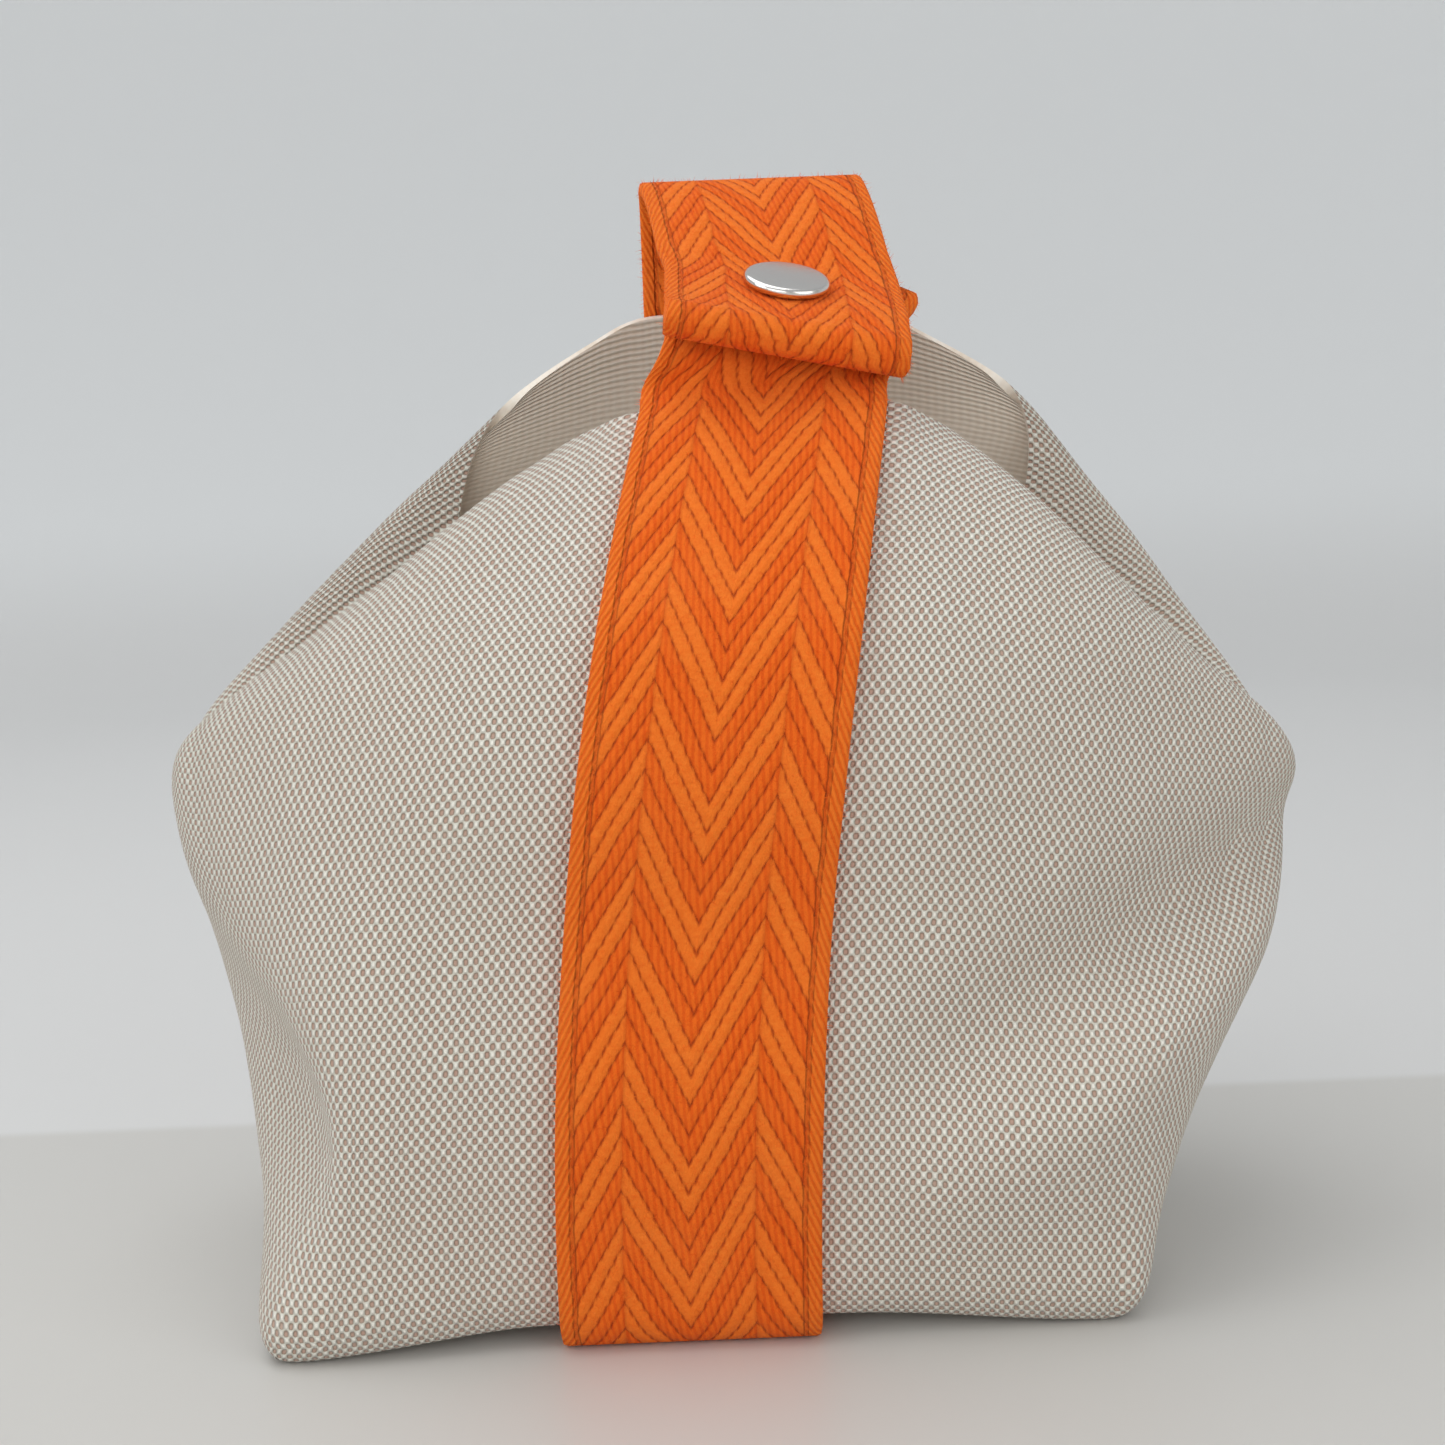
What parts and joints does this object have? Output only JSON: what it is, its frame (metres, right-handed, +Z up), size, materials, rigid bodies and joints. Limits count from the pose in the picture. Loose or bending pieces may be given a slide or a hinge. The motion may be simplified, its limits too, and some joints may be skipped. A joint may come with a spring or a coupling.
{
  "type": "travel case",
  "caption": "Soft two-tone canvas travel case with tucked corners and a broad orange chevron webbing strap that closes over the mouth with a press snap.",
  "frame": {"origin": "On the floor, under the middle of the base, in the flat underside of the strap.", "axes": "+X is the case's right seen from the front, -Y is its front and +Z is up."},
  "size_m": [0.2157, 0.1204, 0.2063],
  "materials": {
    "canvas": "two-tone canvas, cream dots on brown",
    "webbing": "orange chevron webbing, slightly fuzzy",
    "snap": "polished silver-coloured metal"
  },
  "bodies": {
    "root": {"canvas_bag": "canvas", "strap": "webbing", "snap_cap": "snap", "snap_stud": "snap"}
  },
  "joints": []
}
